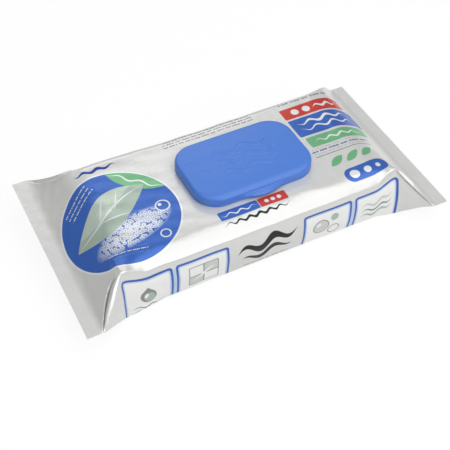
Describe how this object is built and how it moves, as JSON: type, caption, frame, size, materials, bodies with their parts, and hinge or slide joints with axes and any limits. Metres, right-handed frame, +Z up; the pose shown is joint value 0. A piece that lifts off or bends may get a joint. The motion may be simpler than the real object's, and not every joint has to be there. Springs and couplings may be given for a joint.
{
  "type": "wet wipes pack",
  "caption": "Sealed pillow pack of wet wipes: film body with wide crimped fins at both ends and a hinged plastic dispensing lid on top.",
  "frame": {"origin": "middle of the pack's base, on the surface that it rests on", "axes": "+X along the pack from fin to fin, +Y towards the lid's hinge side, +Z up out of the lid"},
  "size_m": [0.26, 0.1356, 0.0467],
  "materials": {
    "pearl_film": "pearlescent printed film, satin sheen",
    "label_film": "clear-coated peel label",
    "blue_polypropylene": "satin moulded polypropylene",
    "blue_hinge_strip": "thin coined polypropylene"
  },
  "bodies": {
    "pack": {"film_pack": "pearl_film", "seal_label": "label_film", "lid_frame": "blue_polypropylene", "hinge_web": "blue_hinge_strip"},
    "cover": {"lid_cover": "blue_polypropylene"}
  },
  "joints": [
    {"name": "lid_hinge", "type": "hinge", "parent": "pack", "child": "cover", "pos_m": [0.0097, 0.03008, 0.04015], "axis": [-1, 0, 0], "range_deg": [0, 115], "deforming": ["hinge_web"]}
  ]
}
